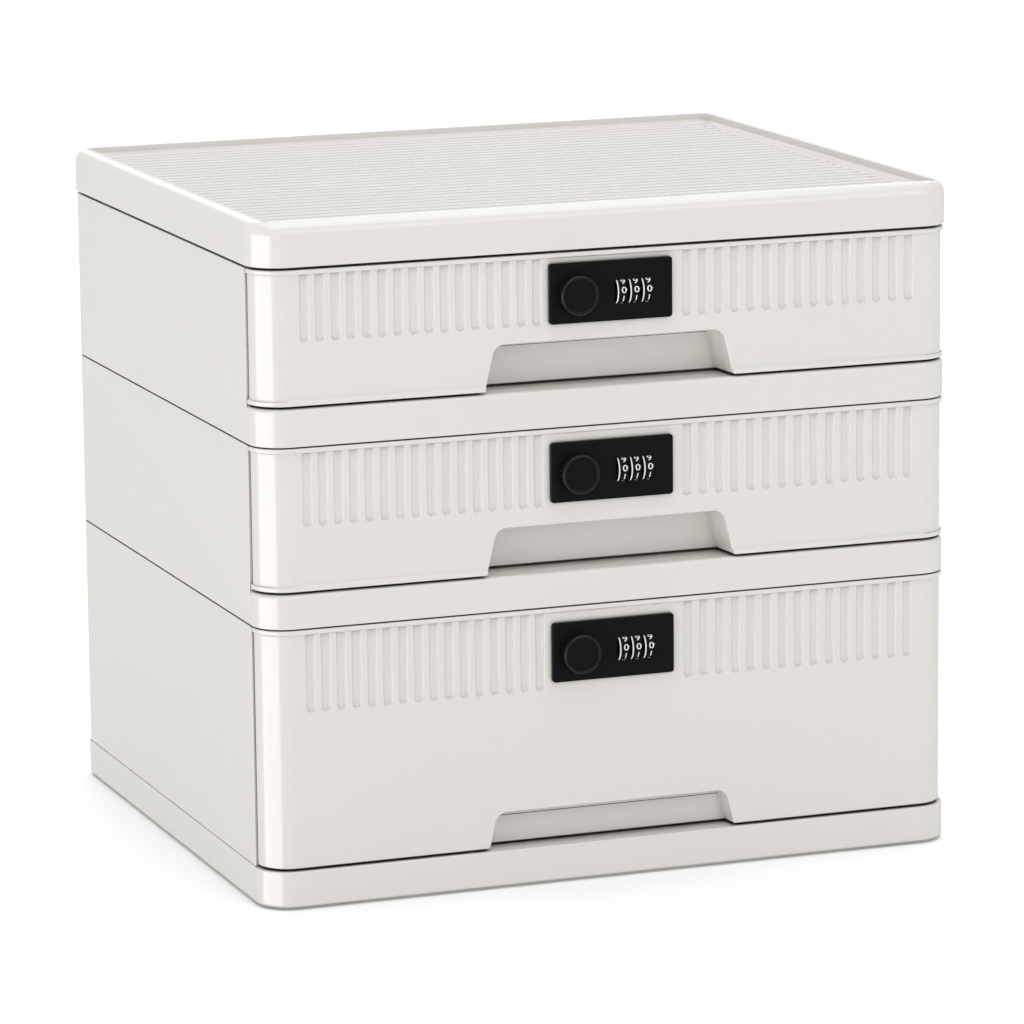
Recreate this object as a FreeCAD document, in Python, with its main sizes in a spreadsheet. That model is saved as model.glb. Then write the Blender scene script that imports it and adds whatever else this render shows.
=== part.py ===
"""Desktop file drawer: a stack of three lockable drawers in a moulded cabinet.

Frame: X to the right, Y from front to back, Z up, in millimetres.  The origin lies on the table,
under the middle of the whole object, from the knobs to the back wall.
"""
import FreeCAD, Part
import Sketcher
import math
import os
import re

# ---------------------------------------------------------------------------------------------
# Driving dimensions (millimetres, degrees and counts)
# ---------------------------------------------------------------------------------------------
SIZES = {
    # cabinet
    "width": 350, "depth": 300, "wall": 3,
    "front_radius": 16, "rear_radius": 10,
    "proud": 0.6,                # cover and base stand this far outside the walls
    "foot_stand": 1,             # height of the feet below the base
    "base_top": 18.5, "lower_bay": 115.5, "middle_band": 16.5, "middle_bay": 69,
    "upper_band": 18, "upper_bay": 65.5, "cover_height": 21,
    "deck_plate": 3, "deck_round": 2,
    "tier_gap": 0.6, "cover_gap": 1.2, "shadow_depth": 2.2,
    "base_round": 2,
    # cover
    "rim_radius": 6.8, "rim_width": 7.4, "recess_depth": 4, "recess_radius": 3,
    "recess_fillet": 1.5, "cover_panel": 2.6, "cover_border": 7.5,
    "cover_groove_pitch": 9.7, "cover_groove_width": 4, "cover_groove_depth": 0.8,
    "cover_groove_count": 28,
    # stiffening ribs under the decks and the base
    "rib_height": 7, "rib_thick": 1.6, "rib_spacing": 58, "rib_count": 5,
    # columns, tie bolts and feet
    "column_radius": 5, "column_inset": 7.5, "front_column": 29, "base_column_radius": 6.5,
    "bolt_radius": 2, "bolt_play": 0.3, "bolt_head_radius": 3.8, "bolt_head_height": 2.6,
    "bolt_head_sink": 2, "bolt_tip": 4,
    "foot_radius": 8, "foot_inset": 30, "foot_seat": 2, "foot_socket_wall": 2,
    # runners
    "travel": 215, "slide_gap": 0.3, "skid_height": 1.2, "skid_width": 10, "skid_inset": 24,
    "guide_height": 10, "guide_thick": 1.8, "guide_gap": 0.4, "guide_setback": 1,
    "stop_offset": 100, "stop_width": 20, "stop_thick": 3, "stop_drop": 5, "stop_gap": 0.5,
    "tab_gap": 1.5,
    # trays
    "tray_play": 1, "tray_setback": 26, "tray_rear": 24, "tray_headroom": 10,
    "tray_wall": 2.2, "tray_floor": 2, "tray_radius": 6, "tray_fillet": 2,
    # drawer fronts
    "under_gap": 1, "return_depth": 16.5, "seam": 0.6, "front_wall": 2.5, "flange": 2,
    "lip_height": 2.4, "inset": 1.1, "edge_round": 0.7,
    "groove_width": 3.9, "groove_depth": 1.2, "groove_gap": 6.85, "groove_margin": 23.4,
    "left_grooves": 16, "right_grooves": 15,
    "upper_groove": 31.4, "middle_groove": 34.6, "lower_groove": 37.1,
    "boss_radius": 3.5, "boss_offset": 120, "boss_low": 12, "boss_drop": 18,
    "screw_radius": 1.4, "screw_bite": 10, "screw_head_radius": 3, "screw_head_height": 1.8,
    "screw_play": 0.3,
    # finger pulls
    "pull_width": 125.5, "pull_slant": 0.25, "pull_radius": 6, "pull_draft": 1.5, "pull_wall": 2.2,
    "pull_hook": 4, "hook_radius": 6,
    "upper_pull": 21.7, "middle_pull": 21.7, "lower_pull": 17,
    "upper_pull_depth": 19, "middle_pull_depth": 19, "lower_pull_depth": 11,
    # lock plates
    "lock_shift": 1.25,          # locks and finger pulls stand this far left of the middle
    "plate_width": 61.5, "plate_height": 28.6, "plate_thick": 2.2, "plate_radius": 1.5,
    "plate_rise": 0.7,           # the plate's middle above the axes of knob and wheels
    "plate_edge": 0.4, "upper_lock_drop": 4.9, "middle_lock_drop": 6.6, "lower_lock_drop": 7.3,
    "lock_hole_width": 52, "lock_hole_height": 20, "lock_hole_radius": 1.5,
    "plate_boss_radius": 2.2, "left_plate_boss": -4, "right_plate_boss": 23,
    "plate_boss_rise": 7.3,
    "case_screw_radius": 1.1, "case_screw_head_radius": 2, "case_screw_head_height": 1.2,
    # number wheels
    "wheel_radius": 7, "wheel_width": 4.4, "wheel_pitch": 6.4, "first_wheel": 4.5,
    "wheel_proud": 2.2, "wheel_count": 3, "wheel_play": 0.35, "axle_radius": 1.25,
    "running_gap": 0.05, "notch_count": 10, "notch_radius": 0.55,
    # lock case
    "case_width": 58, "case_height": 26, "case_depth": 16.2, "case_wall": 1.6, "case_radius": 1.5,
    "cheek_thick": 1.2, "cheek_height": 8, "cheek_clearance": 0.2, "bearing_radius": 6.5,
    "bearing_length": 12, "spring_thick": 0.4, "spring_gap": 0.3, "spring_finger": 3,
    "spring_reach": 5,
    # knob and cam
    "knob_offset": 17.45, "knob_radius": 9.3, "knob_height": 5, "knob_gap": 0.3,
    "knob_round": 0.8, "knob_rim": 1.3, "knob_dish": 0.4, "spindle_radius": 4,
    "drive_side": 5, "cam_thick": 2, "cam_length": 24, "cam_width": 9,
    "cam_hub": 6, "cam_tip_radius": 2, "cam_screw_radius": 1.2, "cam_screw_bite": 6,
    "cam_screw_head_radius": 4,
    "keeper_width": 16, "keeper_thick": 2.4, "keeper_drop": 2.5, "keeper_gap": 0.5,
}

# heights of the bays, as formulas of the sizes above
BASE = "base_top"
LOWER_CEILING = "(base_top + lower_bay)"
MIDDLE_DECK = "(base_top + lower_bay + middle_band)"
MIDDLE_CEILING = "(base_top + lower_bay + middle_band + middle_bay)"
UPPER_DECK = "(base_top + lower_bay + middle_band + middle_bay + upper_band)"
UPPER_CEILING = "(base_top + lower_bay + middle_band + middle_bay + upper_band + upper_bay)"
COVER_TOP = "(%s + cover_height)" % UPPER_CEILING

# each tier: name, height of its deck, height of its bay, gap above its drawer front
TIERS = (
    ("upper", UPPER_DECK, "upper_bay", "cover_gap"),
    ("middle", MIDDLE_DECK, "middle_bay", "tier_gap"),
    ("lower", BASE, "lower_bay", "tier_gap"),
)

FRONT = "(-depth / 2)"
REAR = "(depth / 2)"
TRAY_HALF = "(width / 2 - column_inset - column_radius - tray_play)"
TRAY_REAR = "(depth - tray_rear)"
PLATE_FACE = "(inset - plate_thick)"
WHEEL_AXIS = "(inset - plate_thick - wheel_proud + wheel_radius)"
CASE_FRONT = "(inset + front_wall)"
KEEPER_FRONT = "(return_depth + seam)"
CAM_FRONT = "(return_depth + seam + keeper_thick + keeper_gap)"
OVERSHOOT = "1"                  # how far a cut runs past the face that it opens
FULL_ROUND = "0.4975"            # share of a groove's width that rounds its end
MIDDLE = "((plate_thick - inset + knob_gap + knob_height - proud) / 2)"  # of knobs and back wall

EDGE_TOLERANCE = 1e-4
VOLUME_TOLERANCE = 1e-3

doc = FreeCAD.newDocument("file_drawer")
sheet = doc.addObject("Spreadsheet::Sheet", "Sizes")
for row, (size_name, size) in enumerate(SIZES.items(), 1):
    sheet.set("A%d" % row, size_name)
    sheet.set("B%d" % row, str(size))
    sheet.setAlias("B%d" % row, size_name)
doc.recompute()


# ---------------------------------------------------------------------------------------------
# Formulas
# ---------------------------------------------------------------------------------------------
def linked(formula):
    """A formula of size names, written for FreeCAD's expression engine."""
    return re.sub(r"[a-z]\w*", lambda word: "Sizes." + word.group()
                  if word.group() in SIZES else word.group(), formula)


def value(formula):
    """The number that a formula gives with the present sizes."""
    return float(sheet.evalExpression(linked(formula)))


# ---------------------------------------------------------------------------------------------
# Bodies, sketches and features
# ---------------------------------------------------------------------------------------------
def new_body(label, place=("0", "0", "0")):
    """An empty body whose placement, from the middle of the cabinet, follows three formulas."""
    body = doc.addObject("PartDesign::Body", label)
    body.Label = label
    body.AllowCompound = True
    for axis, formula in zip("xyz", (place[0], "%s + %s" % (place[1], MIDDLE), place[2])):
        body.setExpression("Placement.Base." + axis, linked(formula))
    return body


def origin_feature(body, role):
    return next(feature for feature in body.Origin.OriginFeatures if feature.Role == role)


def new_sketch(body, role, at):
    """A sketch on an origin plane of its body, moved to the coordinate `at` of the plane's axis."""
    sketch = body.newObject("Sketcher::SketchObject", "Sketch")
    sketch.AttachmentSupport = [(origin_feature(body, role), "")]
    sketch.MapMode = "FlatFace"
    sign = "-" if role == "XZ_Plane" else ""        # the XZ plane looks towards -Y
    sketch.setExpression("AttachmentOffset.Base.z", linked("%s(%s)" % (sign, at)))
    return sketch


def fix_point(sketch, geometry, position, x, y):
    """Tie a point of the sketch to two coordinate formulas."""
    for kind, formula in (("DistanceX", x), ("DistanceY", y)):
        index = sketch.addConstraint(
            Sketcher.Constraint(kind, -1, 1, geometry, position, value(formula)))
        sketch.setExpression("Constraints[%d]" % index, linked(formula))


def draw_loop(sketch, corners):
    """A closed outline through corners (x, y) or (x, y, radius of the rounding)."""
    points = [FreeCAD.Vector(value(corner[0]), value(corner[1]), 0) for corner in corners]
    count = len(corners)
    rounding = [value(corner[2]) if len(corner) > 2 else 0 for corner in corners]
    entries, exits, arcs = [], [], []
    for i, point in enumerate(points):
        arriving = (point - points[i - 1]).normalize()
        leaving = (points[(i + 1) % count] - point).normalize()
        turn = math.atan2(arriving.x * leaving.y - arriving.y * leaving.x, arriving.dot(leaving))
        reach = rounding[i] * math.tan(abs(turn) / 2)
        entries.append(point - arriving * reach)
        exits.append(point + leaving * reach)
        arcs.append((arriving, turn))
    marks = []
    for corner, point in zip(corners, points):
        mark = sketch.addGeometry(Part.Point(point), True)
        fix_point(sketch, mark, 1, corner[0], corner[1])
        marks.append(mark)
    sides = [sketch.addGeometry(Part.LineSegment(exits[i], entries[(i + 1) % count]))
             for i in range(count)]
    for i in range(count):
        if rounding[i]:
            round_corner(sketch, sides[i - 1], sides[i], entries[i], arcs[i], corners[i][2])
            sketch.addConstraint(Sketcher.Constraint("PointOnObject", marks[i], 1, sides[i - 1]))
            sketch.addConstraint(Sketcher.Constraint("PointOnObject", marks[i], 1, sides[i]))
        else:
            sketch.addConstraint(Sketcher.Constraint("Coincident", sides[i - 1], 2, marks[i], 1))
            sketch.addConstraint(Sketcher.Constraint("Coincident", sides[i], 1, marks[i], 1))


def round_corner(sketch, before, after, entry, arc, radius):
    """A tangent arc between two sides of a loop."""
    arriving, turn = arc
    side = 1 if turn > 0 else -1
    size = value(radius)
    to_centre = FreeCAD.Vector(-arriving.y, arriving.x, 0) * side
    centre = entry + to_centre * size
    start = math.atan2(-to_centre.y, -to_centre.x)
    circle = Part.Circle(centre, FreeCAD.Vector(0, 0, 1), size)
    if side > 0:
        curve = sketch.addGeometry(Part.ArcOfCircle(circle, start, start + turn))
        first, last = 1, 2
    else:
        curve = sketch.addGeometry(Part.ArcOfCircle(circle, start + turn, start))
        first, last = 2, 1
    sketch.addConstraint(Sketcher.Constraint("Tangent", before, 2, curve, first))
    sketch.addConstraint(Sketcher.Constraint("Tangent", after, 1, curve, last))
    index = sketch.addConstraint(Sketcher.Constraint("Radius", curve, size))
    sketch.setExpression("Constraints[%d]" % index, linked(radius))


def outline(body, role, at, *loops):
    """A sketch of closed outlines."""
    sketch = new_sketch(body, role, at)
    for corners in loops:
        draw_loop(sketch, corners)
    return sketch


def circles(body, role, at, centres, radius):
    """A sketch of equal circles."""
    sketch = new_sketch(body, role, at)
    for x, y in centres:
        centre = FreeCAD.Vector(value(x), value(y), 0)
        circle = sketch.addGeometry(Part.Circle(centre, FreeCAD.Vector(0, 0, 1), value(radius)))
        fix_point(sketch, circle, 3, x, y)
        index = sketch.addConstraint(Sketcher.Constraint("Radius", circle, value(radius)))
        sketch.setExpression("Constraints[%d]" % index, linked(radius))
    return sketch


def rectangle(left, right, low, high, low_radius=None, high_radius=None):
    """Corners of a rectangle, rounded at its low and high ends where a radius is given."""
    low_round = (low_radius,) if low_radius else ()
    high_round = (high_radius,) if high_radius else ()
    return [(left, low) + low_round, (right, low) + low_round,
            (right, high) + high_round, (left, high) + high_round]


def volume(body):
    return body.Shape.Volume if body.Tip and not body.Shape.isNull() else 0


def commit(body, feature, before, grows):
    """Recompute a new feature and make sure that it did its work."""
    doc.recompute()
    change = volume(body) - before
    if (change if grows else -change) < VOLUME_TOLERANCE:
        raise RuntimeError("%s: %s changes nothing" % (body.Label, feature.Name))
    return feature


def extrude(body, sketch, length, adds):
    """Extrude a sketch from its own plane along the plane's positive axis."""
    before = volume(body)
    feature = body.newObject("PartDesign::Pad" if adds else "PartDesign::Pocket", "Extrusion")
    feature.Profile = sketch
    faces_back = origin_role(sketch) == "XZ_Plane"
    feature.Reversed = faces_back if adds else not faces_back
    feature.setExpression("Length", linked(length))
    sketch.Visibility = False
    return commit(body, feature, before, adds)


def origin_role(sketch):
    return sketch.AttachmentSupport[0][0].Role


def add(body, sketch, length):
    return extrude(body, sketch, length, True)


def cut(body, sketch, length):
    return extrude(body, sketch, length, False)


def loft(body, sketches, adds):
    """A drafted block, or hollow, through two outlines."""
    before = volume(body)
    kind = "PartDesign::AdditiveLoft" if adds else "PartDesign::SubtractiveLoft"
    feature = body.newObject(kind, "Loft")
    feature.Profile = sketches[0]
    feature.Sections = sketches[1:]
    return commit(body, feature, before, adds)


def repeat(body, feature, axis, spacing, count, grows, backwards=False):
    """Repeat a feature along an axis of its body."""
    if round(value(count)) < 2:
        return feature
    before = volume(body)
    pattern = body.newObject("PartDesign::LinearPattern", "Pattern")
    pattern.Originals = [feature]
    pattern.Direction = (origin_feature(body, axis), [""])
    pattern.Reversed = backwards
    pattern.Mode = "Spacing"
    pattern.setExpression("Offset", linked(spacing))
    pattern.setExpression("Occurrences", linked(count))
    body.Tip = pattern
    return commit(body, pattern, before, grows)


def turn_around(body, feature, axis, count, grows):
    """Repeat a feature evenly about an axis of its body."""
    before = volume(body)
    pattern = body.newObject("PartDesign::PolarPattern", "Pattern")
    pattern.Originals = [feature]
    pattern.Axis = (origin_feature(body, axis), [""])
    pattern.Angle = 360
    pattern.setExpression("Occurrences", linked(count))
    body.Tip = pattern
    return commit(body, pattern, before, grows)


def round_edges(body, radius, chosen):
    """Round the edges of a body that the test `chosen` picks by their bounding boxes."""
    base = body.Tip
    names = ["Edge%d" % number for number, edge in enumerate(base.Shape.Edges, 1)
             if chosen(edge.BoundBox)]
    if not names:
        raise RuntimeError("%s: no edge to round" % body.Label)
    feature = body.newObject("PartDesign::Fillet", "Fillet")
    feature.Base = (base, names)
    feature.setExpression("Radius", linked(radius))
    doc.recompute()
    return feature


def same(first, second):
    return abs(first - second) < EDGE_TOLERANCE


def flat_at(low, high, level):
    """Whether a bounding range lies wholly at one level."""
    return same(low, level) and same(high, level)


# ---------------------------------------------------------------------------------------------
# Cabinet
# ---------------------------------------------------------------------------------------------
def footprint(inset):
    """Plan outline of the cabinet, inset all round."""
    side = "(width / 2 - %s)" % inset
    end = "(depth / 2 - %s)" % inset
    return rectangle("-" + side, side, "-" + end, end,
                     "front_radius - %s" % inset, "rear_radius - %s" % inset)


def four(x, front_y, rear_y):
    """Four points, symmetrical about the middle plane."""
    return [(sign + x, y) for sign in ("-", "") for y in (front_y, rear_y)]


def column_centres():
    return four("(width / 2 - column_inset)", "(front_column - depth / 2)",
                "(depth / 2 - column_inset)")


def foot_centres():
    return four("(width / 2 - foot_inset)", "(foot_inset - depth / 2)",
                "(depth / 2 - foot_inset)")


def add_columns(body, bottom, height, radius):
    """Four hollow columns for the tie bolts."""
    add(body, circles(body, "XY_Plane", bottom, column_centres(), radius), height)
    cut(body, circles(body, "XY_Plane", bottom, column_centres(), "bolt_radius + bolt_play"),
        height)


def add_keeper(body, ceiling, underside):
    """Lug that the lock's cam swings behind, hanging from the panel above a bay."""
    x = "(-lock_shift - knob_offset)"
    lug = rectangle("%s - keeper_width / 2" % x, "%s + keeper_width / 2" % x,
                    "%s + %s" % (FRONT, KEEPER_FRONT),
                    "%s + %s + keeper_thick" % (FRONT, KEEPER_FRONT))
    bottom = "%s - keeper_drop" % ceiling
    add(body, outline(body, "XY_Plane", bottom, lug), "%s - (%s)" % (underside, bottom))


def add_stops(body, ceiling, underside):
    """Two ribs that stop the tray's tabs when the drawer is out."""
    rear = "%s + %s - stop_thick - travel - stop_gap" % (FRONT, TRAY_REAR)
    ribs = [rectangle("%s - stop_width / 2" % x, "%s + stop_width / 2" % x,
                      "%s - stop_thick" % rear, rear) for x in ("-stop_offset", "stop_offset")]
    bottom = "%s - stop_drop" % ceiling
    add(body, outline(body, "XY_Plane", bottom, *ribs), "%s - (%s)" % (underside, bottom))


def add_guides(body, deck):
    """Guide ribs beside the tray."""
    first = "%s + front_column + column_radius + guide_setback" % FRONT
    last = "%s + %s" % (FRONT, TRAY_REAR)
    side = "%s + guide_gap" % TRAY_HALF
    guides = [rectangle("-(%s + guide_thick)" % side, "-(%s)" % side, first, last),
              rectangle(side, "%s + guide_thick" % side, first, last)]
    add(body, outline(body, "XY_Plane", deck, *guides), "guide_height")


def add_stiffeners(body, underside):
    """Parallel ribs under a panel, from front wall to back wall."""
    first = "-rib_spacing * (rib_count - 1) / 2"
    rib = rectangle("%s - rib_thick / 2" % first, "%s + rib_thick / 2" % first,
                    "%s + wall" % FRONT, "%s - wall" % REAR)
    ribs = add(body, outline(body, "XY_Plane", "%s - rib_height" % underside, rib), "rib_height")
    repeat(body, ribs, "X_Axis", "rib_spacing", "rib_count", True)


def open_front(body, bottom, top):
    """Take the walls away where the drawer front wraps round the corners."""
    opening = rectangle("-width / 2 - %s" % OVERSHOOT, "width / 2 + %s" % OVERSHOOT,
                        "%s - %s" % (FRONT, OVERSHOOT), "%s + return_depth + seam" % FRONT)
    cut(body, outline(body, "XY_Plane", bottom, opening), "%s - %s" % (top, bottom))


def cut_shadow_gap(body, top, gap):
    """Step round the upper edge of the walls, which shows as a shadow line."""
    cut(body, outline(body, "XY_Plane", "%s - %s" % (top, gap),
                      footprint("(-%s)" % OVERSHOOT), footprint("shadow_depth")), gap)


def deck_frame(label, bottom, deck, ceiling, gap):
    """Moulding of one deck with the side walls and the back wall that stand on it."""
    body = new_body(label)
    underside = "(%s - deck_plate)" % deck
    add(body, outline(body, "XY_Plane", bottom, footprint("0")), "%s - %s" % (ceiling, bottom))
    cut(body, outline(body, "XY_Plane", deck, footprint("wall")), "%s - %s" % (ceiling, deck))
    open_front(body, deck, ceiling)
    level, opening = value(deck), value("%s + return_depth + seam" % FRONT)
    round_edges(body, "deck_round", lambda box: flat_at(box.ZMin, box.ZMax, level)
                and box.YMax < opening + EDGE_TOLERANCE
                and not flat_at(box.YMin, box.YMax, opening))
    cut(body, outline(body, "XY_Plane", bottom, footprint("wall")),
        "%s - %s" % (underside, bottom))
    cut_shadow_gap(body, ceiling, gap)
    add_stiffeners(body, underside)
    add_columns(body, bottom, "%s - %s" % (ceiling, bottom), "column_radius")
    add_guides(body, deck)
    add_keeper(body, bottom, underside)
    add_stops(body, bottom, underside)
    return body


def lower_frame():
    """Side walls and back wall of the lower bay, which stand on the base."""
    body = new_body("lower_frame")
    height = "%s - %s" % (LOWER_CEILING, BASE)
    add(body, outline(body, "XY_Plane", BASE, footprint("0"), footprint("wall")), height)
    open_front(body, BASE, LOWER_CEILING)
    cut_shadow_gap(body, LOWER_CEILING, "tier_gap")
    add_columns(body, BASE, height, "column_radius")
    return body


def base():
    """Base with the floor of the lower bay, hollow underneath."""
    body = new_body("base")
    underside = "(%s - deck_plate)" % BASE
    height = "%s - foot_stand" % BASE
    add(body, outline(body, "XY_Plane", "foot_stand", footprint("(-proud)")), height)
    bottom, top = value("foot_stand"), value(BASE)
    round_edges(body, "base_round", lambda box: flat_at(box.ZMin, box.ZMax, bottom))
    round_edges(body, "proud", lambda box: flat_at(box.ZMin, box.ZMax, top))
    cut(body, outline(body, "XY_Plane", "foot_stand", footprint("wall")),
        "%s - foot_stand" % underside)
    add_stiffeners(body, underside)
    add(body, circles(body, "XY_Plane", "foot_stand", foot_centres(),
                      "foot_radius + foot_socket_wall"), "%s - foot_stand" % underside)
    cut(body, circles(body, "XY_Plane", "foot_stand", foot_centres(), "foot_radius"),
        "foot_seat")
    add_columns(body, "foot_stand", height, "base_column_radius")
    cut(body, circles(body, "XY_Plane", "foot_stand", column_centres(),
                      "bolt_head_radius + bolt_play"), "bolt_head_sink + bolt_head_height")
    add_guides(body, BASE)
    return body


def top_cover():
    """Cover with a rounded raised rim, a grooved panel set down inside it and bolt bosses."""
    body = new_body("top_cover")
    underside = "(%s - recess_depth - cover_panel)" % COVER_TOP
    floor = "(%s - recess_depth)" % COVER_TOP
    add(body, outline(body, "XY_Plane", UPPER_CEILING, footprint("(-proud)")), "cover_height")
    crest = value(COVER_TOP)
    round_edges(body, "rim_radius", lambda box: flat_at(box.ZMin, box.ZMax, crest))
    side = "(width / 2 + proud - rim_width)"
    end = "(depth / 2 + proud - rim_width)"
    cut(body, outline(body, "XY_Plane", floor, rectangle(
        "-" + side, side, "-" + end, end, "recess_radius", "recess_radius")), "recess_depth")
    panel = value(floor)
    round_edges(body, "recess_fillet", lambda box: flat_at(box.ZMin, box.ZMax, panel))
    cut(body, outline(body, "XY_Plane", UPPER_CEILING, footprint("wall")),
        "%s - %s" % (underside, UPPER_CEILING))
    reach = "(%s - cover_border)" % side
    first = "(-cover_groove_pitch * (cover_groove_count - 1) / 2)"
    groove = rectangle("-" + reach, reach, "%s - cover_groove_width / 2" % first,
                       "%s + cover_groove_width / 2" % first,
                       "cover_groove_width * " + FULL_ROUND, "cover_groove_width * " + FULL_ROUND)
    grooves = cut(body, outline(body, "XY_Plane", "%s - cover_groove_depth" % floor, groove),
                  "cover_groove_depth")
    repeat(body, grooves, "Y_Axis", "cover_groove_pitch", "cover_groove_count", False)
    add(body, circles(body, "XY_Plane", UPPER_CEILING, column_centres(), "column_radius"),
        "%s - %s" % (underside, UPPER_CEILING))
    cut(body, circles(body, "XY_Plane", UPPER_CEILING, column_centres(), "bolt_radius"),
        "%s - bolt_tip - %s" % (underside, UPPER_CEILING))
    add_keeper(body, UPPER_CEILING, underside)
    add_stops(body, UPPER_CEILING, underside)
    return body


def rubber_feet():
    """Four round pads in the sockets of the base."""
    body = new_body("rubber_feet")
    add(body, circles(body, "XY_Plane", "0", foot_centres(), "foot_radius"),
        "foot_stand + foot_seat")
    return body


def tie_bolts():
    """Four long bolts that clamp base, frames and cover."""
    body = new_body("tie_bolts")
    head = "(foot_stand + bolt_head_sink)"
    tip = "(%s - recess_depth - cover_panel - bolt_tip)" % COVER_TOP
    add(body, circles(body, "XY_Plane", head, column_centres(), "bolt_head_radius"),
        "bolt_head_height")
    add(body, circles(body, "XY_Plane", "%s + bolt_head_height" % head, column_centres(),
                      "bolt_radius"), "%s - %s - bolt_head_height" % (tip, head))
    return body


# ---------------------------------------------------------------------------------------------
# Drawers: their parts are drawn with the deck at Z = 0 and the front plane at Y = 0
# ---------------------------------------------------------------------------------------------
def boss_centres(bay, gap):
    return four("boss_offset", "boss_low", "(%s - %s - boss_drop)" % (bay, gap))


def tray(tier, deck, bay, gap):
    """Moulded drawer box with two stop tabs on its back wall and two skids under its floor."""
    body = new_body(tier + "_tray", ("0", FRONT, deck))
    bottom = "(skid_height + slide_gap)"
    top = "(%s - tray_headroom)" % bay
    inner_side = "(%s - tray_wall)" % TRAY_HALF
    add(body, outline(body, "XY_Plane", bottom, rectangle(
        "-" + TRAY_HALF, TRAY_HALF, "tray_setback", TRAY_REAR, "tray_radius", "tray_radius")),
        "%s - %s" % (top, bottom))
    cut(body, outline(body, "XY_Plane", "%s + tray_floor" % bottom, rectangle(
        "-" + inner_side, inner_side, "tray_setback + tray_wall", TRAY_REAR + " - tray_wall",
        "tray_radius - tray_wall", "tray_radius - tray_wall")),
        "%s - %s - tray_floor" % (top, bottom))
    floor = value("%s + tray_floor" % bottom)
    round_edges(body, "tray_fillet", lambda box: flat_at(box.ZMin, box.ZMax, floor))
    tabs = [rectangle("%s - stop_width / 2" % x, "%s + stop_width / 2" % x,
                      TRAY_REAR + " - stop_thick", TRAY_REAR)
            for x in ("-stop_offset", "stop_offset")]
    add(body, outline(body, "XY_Plane", "%s - 2 * tray_wall" % top, *tabs),
        "tray_headroom + 2 * tray_wall - tab_gap")
    skid_side = "(%s - skid_inset)" % TRAY_HALF
    skids = [rectangle("-" + skid_side, "-(%s - skid_width)" % skid_side, "tray_setback", TRAY_REAR),
             rectangle("%s - skid_width" % skid_side, skid_side, "tray_setback", TRAY_REAR)]
    add(body, outline(body, "XY_Plane", "slide_gap", *skids), "skid_height")
    cut(body, circles(body, "XZ_Plane", "tray_setback", boss_centres(bay, gap),
                      "screw_radius + screw_play"), "tray_wall")
    return body


def pull_corners(tier, grow, back, bottom):
    """Outline of the finger pull, grown by a wall and drawn in at the back by the draft."""
    height = "(%s_pull + %s)" % (tier, grow)
    foot = "(pull_width / 2 + %s - %s)" % (grow, back)
    head = "(%s - pull_slant * %s)" % (foot, height)
    top = "(under_gap + %s)" % height
    return [("-lock_shift - " + foot, bottom), ("-lock_shift + " + foot, bottom),
            ("-lock_shift + " + head, top, "pull_radius + %s" % grow),
            ("-lock_shift - " + head, top, "pull_radius + %s" % grow)]


def add_pull(body, tier):
    """Finger pull: a drafted tub open at the front and below, with a hook space behind its edge."""
    depth = "%s_pull_depth" % tier
    draft = "pull_draft * %s / upper_pull_depth" % depth
    shell = "(pull_wall + pull_hook)"
    loft(body, [outline(body, "XZ_Plane", "inset", pull_corners(tier, shell, "0", "under_gap")),
                outline(body, "XZ_Plane", "%s + pull_wall" % depth,
                        pull_corners(tier, shell, draft, "under_gap"))], True)
    below = "under_gap - %s" % OVERSHOOT
    loft(body, [outline(body, "XZ_Plane", "-%s" % OVERSHOOT, pull_corners(tier, "0", "0", below)),
                outline(body, "XZ_Plane", depth, pull_corners(tier, "0", draft, below))], False)
    half = "(pull_width / 2 - pull_slant * %s_pull - pull_radius)" % tier
    low = "under_gap + %s_pull - pull_radius" % tier
    high = "under_gap + %s_pull + pull_hook" % tier
    cut(body, outline(body, "XZ_Plane", CASE_FRONT, rectangle(
        "-lock_shift - " + half, "-lock_shift + " + half, low, high)),
        "%s - %s" % (depth, CASE_FRONT))
    back, ceiling = value(depth), value(high)
    round_edges(body, "hook_radius", lambda box: flat_at(box.ZMin, box.ZMax, ceiling)
                and flat_at(box.YMin, box.YMax, back))


def lock_height(tier, top):
    """Height of the axes of knob and wheels, from the top of the drawer front."""
    return "%s - %s_lock_drop - plate_height / 2 - plate_rise" % (top, tier)


def add_grooves(body, tier, top):
    """Two fields of upright grooves with rounded lower ends, left and right of the lock."""
    start = "%s - lip_height" % top
    end = "%s - %s_groove" % (start, tier)
    inner = "(plate_width / 2 + groove_gap)"
    outer = "(width / 2 - groove_margin)"
    for sign, count in (("-", "left_grooves"), ("", "right_grooves")):
        groove = rectangle("%s%s - groove_width / 2" % (sign, inner),
                           "%s%s + groove_width / 2" % (sign, inner),
                           end, start, "groove_width * " + FULL_ROUND)
        field = cut(body, outline(body, "XZ_Plane", "inset", groove), "groove_depth")
        spacing = "(%s - %s) / (%s - 1)" % (outer, inner, count)
        repeat(body, field, "X_Axis", spacing, count, False, backwards=bool(sign))


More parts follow.
